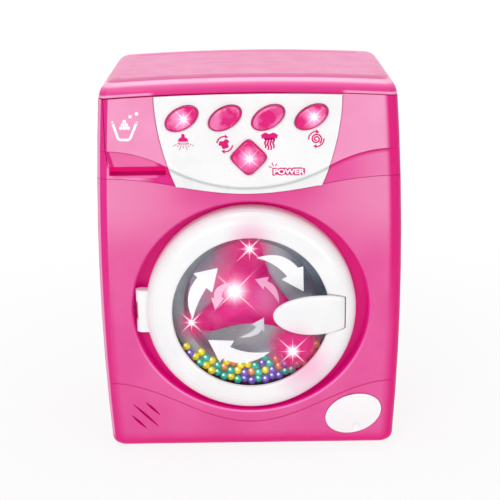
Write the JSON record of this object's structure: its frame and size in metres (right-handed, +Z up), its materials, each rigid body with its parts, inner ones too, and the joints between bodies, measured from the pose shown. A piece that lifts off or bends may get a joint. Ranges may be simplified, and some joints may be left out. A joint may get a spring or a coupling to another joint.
{
  "type": "toy washing machine",
  "caption": "Battery toy front-loading washing machine with a swinging door, turning drum, push buttons and a small drawer.",
  "frame": {"origin": "middle of the base, under the bounding box centre", "axes": "+Z up, +X to the right seen from the front, -Y out of the front face with the door"},
  "size_m": [0.1678, 0.1242, 0.2147],
  "materials": {
    "case_pink": "satin moulded ABS",
    "fascia_pink": "satin moulded ABS, lighter pink",
    "white_plastic": "white gloss ABS",
    "button_magenta": "clear magenta plastic",
    "window_clear": "clear polystyrene",
    "arrow_print": "white printing ink",
    "arrow_print_pale": "pale printing ink",
    "drum_grey": "grey silver-painted plastic",
    "agitator_magenta": "clear magenta plastic",
    "inner_plastic": "plain moulded plastic",
    "gear_plastic": "natural acetal",
    "bead_yellow": "glossy bead",
    "bead_orange": "glossy bead",
    "bead_purple": "glossy bead",
    "bead_teal": "glossy bead",
    "steel": "zinc plated",
    "brass": "turned",
    "rubber": "silicone rubber",
    "board_green": "printed circuit board",
    "led": "clear lens of a light-emitting diode",
    "cell_wrap": "wrapped dry cell",
    "speaker_dark": "paper cone in a dark frame"
  },
  "bodies": {
    "case": {"front_shell": "case_pink", "rear_shell": "case_pink", "fascia": "fascia_pink", "top_cover": "case_pink", "control_panel": "white_plastic", "rinse_pad": "rubber", "wash_pad": "rubber", "dry_pad": "rubber", "spin_pad": "rubber", "power_pad": "rubber", "circuit_board": "board_green", "board_screws": "steel", "panel_leds": "led", "drawer_guide": "inner_plastic", "filter_cover": "white_plastic", "hinge_bracket": "white_plastic", "hinge_pin": "steel", "chamber_cover": "window_clear", "beads_yellow": "bead_yellow", "beads_orange": "bead_orange", "beads_purple": "bead_purple", "beads_teal": "bead_teal", "shaft_bush": "brass", "drum_housing": "inner_plastic", "housing_screws": "steel", "lamp_board": "board_green", "drum_leds": "led", "reduction_pin": "steel", "motor": "steel", "gear_plate": "inner_plastic", "plate_screws": "steel", "speaker": "speaker_dark", "battery_door": "case_pink", "battery_screw": "steel", "batteries": "cell_wrap", "battery_contacts": "steel", "case_screws": "steel"},
    "door": {"door_ring": "white_plastic", "door_window": "window_clear", "door_handle": "white_plastic", "door_catch": "white_plastic", "outer_arrows": "arrow_print", "inner_arrows": "arrow_print_pale"},
    "drawer": {"detergent_drawer": "fascia_pink"},
    "drum": {"drum": "drum_grey", "agitator": "agitator_magenta", "drum_shaft": "steel", "drum_gear": "gear_plastic"},
    "reduction": {"reduction_gear": "gear_plastic"},
    "pinion": {"motor_pinion": "brass"},
    "rinse_key": {"rinse_button": "button_magenta"},
    "wash_key": {"wash_button": "button_magenta"},
    "dry_key": {"dry_button": "button_magenta"},
    "spin_key": {"spin_button": "button_magenta"},
    "power_key": {"power_button": "button_magenta"}
  },
  "joints": [
    {"name": "door_swing", "type": "hinge", "parent": "case", "child": "door", "pos_m": [-0.0606, -0.04644, 0.0845], "axis": [0, 0, -1], "range_deg": [0, 100]},
    {"name": "drawer_slide", "type": "slide", "parent": "case", "child": "drawer", "axis": [0, -1, 0], "range_m": [0, 0.035]},
    {"name": "drum_spin", "type": "hinge", "parent": "case", "child": "drum", "pos_m": [0, -0.01794, 0.0845], "axis": [0, 1, 0], "continuous": true},
    {"name": "reduction_spin", "type": "hinge", "parent": "case", "child": "reduction", "pos_m": [0.01507, -0.00794, 0.11061], "axis": [0, 1, 0], "continuous": true},
    {"name": "pinion_spin", "type": "hinge", "parent": "case", "child": "pinion", "pos_m": [0.0035, -0.00394, 0.13066], "axis": [0, 1, 0], "continuous": true},
    {"name": "rinse_press", "type": "slide", "parent": "case", "child": "rinse_key", "axis": [0, 1, 0], "range_m": [0, 0.0015], "stiffness_N_per_m": 300, "deforming": ["rinse_pad"]},
    {"name": "wash_press", "type": "slide", "parent": "case", "child": "wash_key", "axis": [0, 1, 0], "range_m": [0, 0.0015], "stiffness_N_per_m": 300, "deforming": ["wash_pad"]},
    {"name": "dry_press", "type": "slide", "parent": "case", "child": "dry_key", "axis": [0, 1, 0], "range_m": [0, 0.0015], "stiffness_N_per_m": 300, "deforming": ["dry_pad"]},
    {"name": "spin_press", "type": "slide", "parent": "case", "child": "spin_key", "axis": [0, 1, 0], "range_m": [0, 0.0015], "stiffness_N_per_m": 300, "deforming": ["spin_pad"]},
    {"name": "power_press", "type": "slide", "parent": "case", "child": "power_key", "axis": [0, 1, 0], "range_m": [0, 0.0015], "stiffness_N_per_m": 300, "deforming": ["power_pad"]}
  ],
  "couplings": [
    {"joint": "reduction_spin", "follows": "drum_spin", "ratio": -3},
    {"joint": "pinion_spin", "follows": "drum_spin", "ratio": 10.8}
  ]
}
